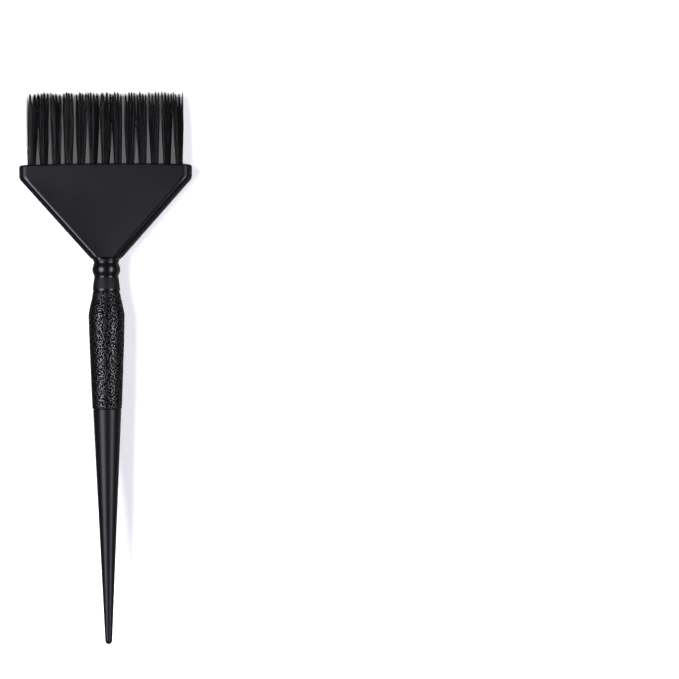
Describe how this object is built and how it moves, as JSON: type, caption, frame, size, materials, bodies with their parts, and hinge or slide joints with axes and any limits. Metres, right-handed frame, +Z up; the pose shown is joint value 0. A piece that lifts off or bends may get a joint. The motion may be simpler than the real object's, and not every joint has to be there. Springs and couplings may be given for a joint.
{
  "type": "tint brush",
  "caption": "Flat salon tint brush: broad triangular head with rows of black bristle tufts, a beaded neck, a pebbled grip sleeve and a long tapered tail for parting hair.",
  "frame": {"origin": "on the plane the grip rests on, under the middle of the overall length and the middle of the head's width", "axes": "+X across the head to the right as seen from its front face, +Y along the handle to the bristle tips, +Z up out of the head's front face"},
  "size_m": [0.0702, 0.225, 0.0144],
  "materials": {
    "moulding": "satin black moulded polypropylene, soft highlights, fine spark-eroded grain",
    "sleeve": "black soft-touch over-mould with a fine raised pebble, satin",
    "bristle": "black nylon filaments, tapered and feathered at the tips, soft sheen along their length",
    "anchor": "plain cut brass strip, hidden inside the tuft"
  },
  "bodies": {
    "root": {"head_and_handle": "moulding", "grip_sleeve": "sleeve", "tuft_front_01": "bristle", "tuft_front_02": "bristle", "tuft_front_03": "bristle", "tuft_front_04": "bristle", "tuft_front_05": "bristle", "tuft_front_06": "bristle", "tuft_front_07": "bristle", "tuft_front_08": "bristle", "tuft_front_09": "bristle", "tuft_front_10": "bristle", "tuft_front_11": "bristle", "tuft_front_12": "bristle", "tuft_front_13": "bristle", "tuft_back_01": "bristle", "tuft_back_02": "bristle", "tuft_back_03": "bristle", "tuft_back_04": "bristle", "tuft_back_05": "bristle", "tuft_back_06": "bristle", "tuft_back_07": "bristle", "tuft_back_08": "bristle", "tuft_back_09": "bristle", "tuft_back_10": "bristle", "tuft_back_11": "bristle", "tuft_back_12": "bristle", "tuft_back_13": "bristle", "anchor_front_01": "anchor", "anchor_front_02": "anchor", "anchor_front_03": "anchor", "anchor_front_04": "anchor", "anchor_front_05": "anchor", "anchor_front_06": "anchor", "anchor_front_07": "anchor", "anchor_front_08": "anchor", "anchor_front_09": "anchor", "anchor_front_10": "anchor", "anchor_front_11": "anchor", "anchor_front_12": "anchor", "anchor_front_13": "anchor", "anchor_back_01": "anchor", "anchor_back_02": "anchor", "anchor_back_03": "anchor", "anchor_back_04": "anchor", "anchor_back_05": "anchor", "anchor_back_06": "anchor", "anchor_back_07": "anchor", "anchor_back_08": "anchor", "anchor_back_09": "anchor", "anchor_back_10": "anchor", "anchor_back_11": "anchor", "anchor_back_12": "anchor", "anchor_back_13": "anchor"}
  },
  "joints": []
}
